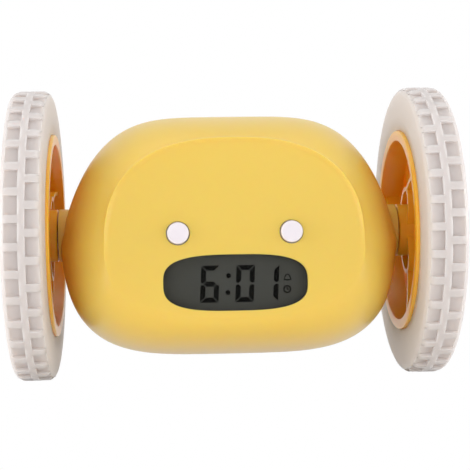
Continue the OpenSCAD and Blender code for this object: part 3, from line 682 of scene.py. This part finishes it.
def pocket_angles():
    """Where the pockets of both rows begin and end round the tyre."""
    angles = []
    for i in range(POCKETS):
        base = i * PITCH
        angles += [base - POCKET_HALF, base + POCKET_HALF]
        angles += [base - PITCH / 2 + POCKET_HALF, base + PITCH / 2 - POCKET_HALF]
    return sorted(angles)


def in_pocket(angle, first):
    """Whether an angle lies in a pocket of the row whose first pocket is at the angle first."""
    return abs((angle - first + PITCH / 2) % PITCH - PITCH / 2) < POCKET_HALF


def sink_pockets(mesh, pockets):
    """Sinks the numbered faces; the floors rise a little towards the tyre's edges."""
    bm = bmesh.new()
    bm.from_mesh(mesh)
    bm.faces.ensure_lookup_table()
    sunk = [bm.faces[f] for f in pockets]
    made = bmesh.ops.extrude_face_region(bm, geom=sunk)
    axis = Vector((0, 0, AXLE_Z * MM))
    middle = (INNER_ROW[1] + OUTER_ROW[0]) / 2
    for v in [g for g in made["geom"] if isinstance(g, bmesh.types.BMVert)]:
        out = v.co - axis
        out.x = 0
        away = abs(abs(v.co.x) / MM - middle) - TREAD_RIB / 2
        floor = TYRE_R - POCKET_DEEP + POCKET_SLOPE * away / POCKET_W
        v.co -= out.normalized() * (out.length - floor * MM)
    bmesh.ops.delete(bm, geom=[f for f in sunk if f.is_valid], context="FACES")
    bmesh.ops.recalc_face_normals(bm, faces=bm.faces)
    bm.to_mesh(mesh)
    bm.free()


def tyre(side):
    """Soft tyre with rounded shoulders and two staggered rows of square pockets."""
    place = wheel_place(side)
    inner_side, inner_tread, outer_tread, outer_face = tyre_section()
    section = inner_side + inner_tread + outer_tread + outer_face
    middle = len(inner_side) + len(inner_tread)
    inner_row = range(len(inner_side), middle - 1)
    outer_row = range(middle, middle + len(outer_tread) - 1)
    angles = pocket_angles()
    m, n = len(section), len(angles)
    verts = [place(q * math.cos(a), q * math.sin(a), h) for a in angles for q, h in section]
    faces, pockets = [], []
    for i in range(n):
        k = (i + 1) % n
        mid = (angles[i] + (angles[k] if k else angles[0] + math.tau)) / 2
        for j in range(m):
            if (j in outer_row and in_pocket(mid, 0)) or (j in inner_row and in_pocket(mid, PITCH / 2)):
                pockets.append(len(faces))
            q = (j + 1) % m
            faces.append([i * m + j, i * m + q, k * m + q, k * m + j])
    mesh = bpy.data.meshes.new(side + "_tyre_skin")
    mesh.from_pydata([tuple(v) for v in verts], [], faces)
    sink_pockets(mesh, pockets)
    piece = bpy.data.objects.new(side + "_tyre_skin", mesh)
    bpy.context.scene.collection.objects.link(piece)
    bevel(piece, POCKET_ROUND, 2, SHARP_TYRE)
    smooth_by_angle(piece, SHARP_TYRE)
    return piece


def curve(p, q, r, n=10):
    """Points of a bend from p to r that leans towards q."""
    out = []
    for i in range(n + 1):
        t = i / n
        out.append(tuple((1 - t) ** 2 * a + 2 * t * (1 - t) * b + t * t * c for a, b, c in zip(p, q, r)))
    return out


def polar(r, degrees):
    """A point at a radius and an angle."""
    return r * math.cos(math.radians(degrees)), r * math.sin(math.radians(degrees))


def strip(points, width):
    """The outline of a bent rib of even thickness."""
    left, right = [], []
    for i, (x, z) in enumerate(points):
        a, b = points[max(i - 1, 0)], points[min(i + 1, len(points) - 1)]
        d = math.hypot(b[0] - a[0], b[1] - a[1])
        nx, nz = -(b[1] - a[1]) / d * width / 2, (b[0] - a[0]) / d * width / 2
        left.append((x + nx, z + nz))
        right.append((x - nx, z - nz))
    return left + right[::-1]


def hub_section():
    """The hub's outline as (radius, distance): lip, disc, boss, bore and the disc's outer face."""
    inner, rim_out = HUB_R - HUB_WALL, DISC_OUT + 1.8
    lip = [(HUB_R, LIP_IN + 0.35), (HUB_R - 0.12, LIP_IN + 0.08), (HUB_R - 0.4, LIP_IN),
           (inner + 0.4, LIP_IN), (inner + 0.1, LIP_IN + 0.1), (inner, LIP_IN + 0.4)]
    disc = [(inner - 0.1, DISC_IN - 0.8), (inner - 0.35, DISC_IN - 0.2), (inner - 1.0, DISC_IN)]
    boss = [(BOSS_R + 1.0, DISC_IN), (BOSS_R + 0.3, DISC_IN - 0.3), (BOSS_R, DISC_IN - 1.0),
            (BOSS_R, BOSS_IN + 0.3), (BOSS_R - 0.3, BOSS_IN)]
    bore = [(HUB_BORE, BOSS_IN), (HUB_BORE, DISC_OUT)]
    outer_face = [(inner - 1.0, DISC_OUT), (inner - 0.2, DISC_OUT + 0.3), (inner + 0.5, DISC_OUT + 1.6),
                  (inner + 1.0, rim_out), (HUB_R - 0.3, rim_out), (HUB_R, rim_out - 0.3)]
    return lip + disc + boss + bore + outer_face


def rib_lines(side):
    """The middle lines of the ribs: each rib is two legs from the boss and one stem to the lip."""
    foot, tip = BOSS_R - RIB_SINK, HUB_R - HUB_WALL + RIB_SINK
    bend = RIB_BEND[side]
    lines = []
    for i in range(RIBS):
        turn = RIB_START + 360 / RIBS * i
        fork = polar(FORK_R, turn)
        for s in (-1, 1):
            lean = polar(FORK_R - LEG_LEAN, turn + s * FORK_SPREAD / 2)
            lines.append(curve(polar(foot, turn + s * FORK_SPREAD), lean, fork))
        lean = polar(STEM_LEAN_R, turn + bend / 4)
        lines.append(curve(polar(FORK_R - STEM_OVERLAP, turn), lean, polar(tip, turn + bend)))
    return lines


def hub(side):
    """A cup open towards the casing, with Y-shaped ribs inside."""
    place = wheel_place(side)
    piece = lathe(side + "_hub_form", hub_section(), place, smooth=0)
    for line in rib_lines(side):
        rib = prism("rib", strip(line, RIB_T), place, LIP_IN + RIB_BEHIND_LIP, DISC_IN + RIB_SINK)
        cut(piece, rib, "UNION")
    smooth_by_angle(piece, SHARP)
    return piece


def hub_cap(side):
    """A low dome over the hub's screw."""
    top = TYRE_OUT + CAP_PROUD
    foot, shoulder, under = DISC_OUT + SEAT_GAP, top - CAP_SHOULDER, top - CAP_WALL
    section = [(CAP_BORE, foot), (CAP_R - CAP_EDGE, foot)]
    section += [(CAP_R, DISC_OUT + CAP_EDGE), (CAP_R, shoulder)]
    for i in range(1, 10):
        a = i * math.pi / 18
        section.append((CAP_R - CAP_ROUND + CAP_ROUND * math.cos(a), shoulder + CAP_RISE * math.sin(a)))
    section += [(r, top - drop) for r, drop in CAP_DOME]
    section += [(AT_AXIS, under), (CAP_BORE, under)]
    return lathe(side + "_cap_dome", section, axis_place(SIDES[side]), 96)


# ---------- the pieces ----------

dress(front_shell(), YELLOW, "casing", "front_cover")
dress(rear_shell(), YELLOW, "casing", "rear_cover")
dress(door_panel(), YELLOW, "battery_door_body", "battery_door")
for side, sign in SIDES.items():
    eye = button(side + "_eye_cap", sign * EYE_X, EYE_Z, -FACE_Y - EYE_PROUD,
                 GLASS_Y + COLLAR_GAP, EYE_TAIL, EYE_R, EYE_COLLAR)
    dress(eye, BUTTON, side + "_eye", side + "_eye_button")
for key, x in zip(KEYS, KEY_PLACES):
    cap = button(key + "_cap", x, KEY_Z, BACK_Y + KEY_PROUD,
                 BACK_Y - WALL - COLLAR_GAP, KEY_TAIL, KEY_R, KEY_COLLAR)
    dress(cap, BUTTON, key + "_key", key + "_button")
dress(display_marks(), LCD_INK, "casing", None)
for side in SIDES:
    dress(tyre(side), MILK, side + "_wheel", side + "_tyre")
    dress(hub(side), ORANGE, side + "_wheel", side + "_hub")
    dress(hub_cap(side), ORANGE, side + "_wheel", side + "_hub_cap")

# ---------- finishes of the frame's pieces that this script doesn't replace ----------

FINISHES = {
    "casing_screws": STEEL, "lcd_lens": SMOKE, "lcd_panel": LCD_GREY, "display_board": BOARD,
    "main_board": BOARD, "run_switch_body": STEEL, "run_switch_knob": BUTTON, "buzzer": BLACK,
    "battery_tray": BLACK, "battery_cells": WRAP, "battery_contacts": BRASS,
}
SIDE_FINISHES = {
    "motor": CAN, "pinion": BRASS, "idler_gear": NYLON, "gearbox": GREY, "bush": BRASS,
    "drive_gear": NYLON, "axle": STEEL, "hub_screw": STEEL,
}
for side in SIDES:
    FINISHES.update({side + "_" + part: finish for part, finish in SIDE_FINISHES.items()})
for node, finish in FINISHES.items():
    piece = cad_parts[node]
    if not piece.material_slots:
        piece.data.materials.append(finish)
    for s in piece.material_slots:
        s.material = finish

# ---------- floor, light and camera ----------

# lamps: name, place, height of the point that it aims at, size and watts
LAMPS = (
    ("front_left", (-0.5, -0.62, 0.09), 0.035, (0.5, 0.16), 0.8),
    ("front_right", (0.5, -0.62, 0.09), 0.035, (0.5, 0.16), 0.8),
    ("side_left", (-0.8, -0.12, 0.13), 0.05, (0.5, 0.24), 2.8),
    ("side_right", (0.8, -0.12, 0.13), 0.05, (0.5, 0.24), 2.3),
    ("top", (0, 0.05, 0.8), 0.04, (0.9, 0.4), 0.9),
)
SKY_LIGHT, SKY_SEEN = 0.72, 1.0

# paper, in metres: half its width, its front end, the bend up into the wall, and the wall's top
PAPER_HALF_W, PAPER_FRONT, BEND_Y, BEND_R, PAPER_TOP = 2.2, -1.2, 0.7, 0.5, 2.2


def softbox(name, place, aim_z, size, watts):
    """A rectangular lamp that looks at a point above the middle of the floor."""
    light = bpy.data.lights.new(name, "AREA")
    light.shape = "RECTANGLE"
    light.size, light.size_y = size
    light.energy = watts
    lamp = bpy.data.objects.new(name, light)
    lamp.location = place
    lamp.rotation_euler = (Vector((0, 0, aim_z)) - Vector(place)).to_track_quat("-Z", "Y").to_euler()
    bpy.context.scene.collection.objects.link(lamp)


def seen_rays(nodes, links):
    """1 for the rays that show the background: straight, mirrored or through clear plastic."""
    ray = nodes.new("ShaderNodeLightPath")
    shown = ray.outputs["Is Camera Ray"]
    for other in ("Is Glossy Ray", "Is Transmission Ray"):
        larger = nodes.new("ShaderNodeMath")
        larger.operation = "MAXIMUM"
        links.new(shown, larger.inputs[0])
        links.new(ray.outputs[other], larger.inputs[1])
        shown = larger.outputs[0]
    return shown


def paper_floor():
    """A sheet of white paper that turns up into a wall behind the clock."""
    section = [(PAPER_FRONT, 0.0), (BEND_Y, 0.0)]
    for i in range(1, 13):
        a = i * math.pi / 24
        section.append((BEND_Y + BEND_R * math.sin(a), BEND_R - BEND_R * math.cos(a)))
    section.append((BEND_Y + BEND_R, PAPER_TOP))
    verts = [(x, y, z) for y, z in section for x in (-PAPER_HALF_W, PAPER_HALF_W)]
    faces = [[2 * i, 2 * i + 1, 2 * i + 3, 2 * i + 2] for i in range(len(section) - 1)]
    floor = new_object("paper_floor", verts, faces, smooth=60)
    mat, nodes, links, bsdf = new_material("paper_white")
    bsdf.inputs["Base Color"].default_value = (0.92, 0.92, 0.92, 1)
    bsdf.inputs["Roughness"].default_value = 0.9
    glow = nodes.new("ShaderNodeEmission")
    mix = nodes.new("ShaderNodeMixShader")
    links.new(seen_rays(nodes, links), mix.inputs[0])
    links.new(bsdf.outputs[0], mix.inputs[1])
    links.new(glow.outputs[0], mix.inputs[2])
    links.new(mix.outputs[0], nodes["Material Output"].inputs["Surface"])
    floor.data.materials.append(mat)


def studio():
    """White paper and a white sky, which is seen brighter than it lights, and the lamps."""
    paper_floor()
    world = bpy.data.worlds.new("studio")
    bpy.context.scene.world = world
    world.use_nodes = True
    nodes, links = world.node_tree.nodes, world.node_tree.links
    sky = nodes["Background"]
    sky.inputs["Color"].default_value = (1, 1, 1, 1)
    vary(nodes, links, seen_rays(nodes, links), SKY_LIGHT, SKY_SEEN, sky.inputs["Strength"])
    for lamp in LAMPS:
        softbox(*lamp)


# the camera as fitted to the photograph: distance in metres, focal length and shift in pixels
CAMERA_FAR = 0.374
CAMERA_TURN = math.radians(-3.17)
CAMERA_UP = math.radians(1.5)
CAMERA_ROLL = math.radians(-0.88)
FOCAL_PX, FRAME_PX = 1196.0, 470.0
SHIFT_PX = (6.78, -2.2)


def add_camera():
    """A camera that looks at the wheels' axis from where the photograph was taken."""
    data = bpy.data.cameras.new("camera")
    data.sensor_width = 36.0
    data.lens = FOCAL_PX / FRAME_PX * data.sensor_width
    data.shift_x, data.shift_y = (v / FRAME_PX for v in SHIFT_PX)
    data.clip_start = 0.01
    cam = bpy.data.objects.new("camera", data)
    bpy.context.scene.collection.objects.link(cam)
    aim = Vector((0, 0, AXLE_Z * MM))
    flat = math.cos(CAMERA_UP)
    away = Vector((math.sin(CAMERA_TURN) * flat, -math.cos(CAMERA_TURN) * flat, math.sin(CAMERA_UP)))
    cam.location = aim + away * CAMERA_FAR
    look = (-away).to_track_quat("-Z", "Y").to_matrix()
    cam.rotation_euler = (look @ Matrix.Rotation(CAMERA_ROLL, 3, "Z")).to_euler()
    bpy.context.scene.camera = cam


studio()
add_camera()
bpy.context.scene.view_settings.view_transform = "Standard"
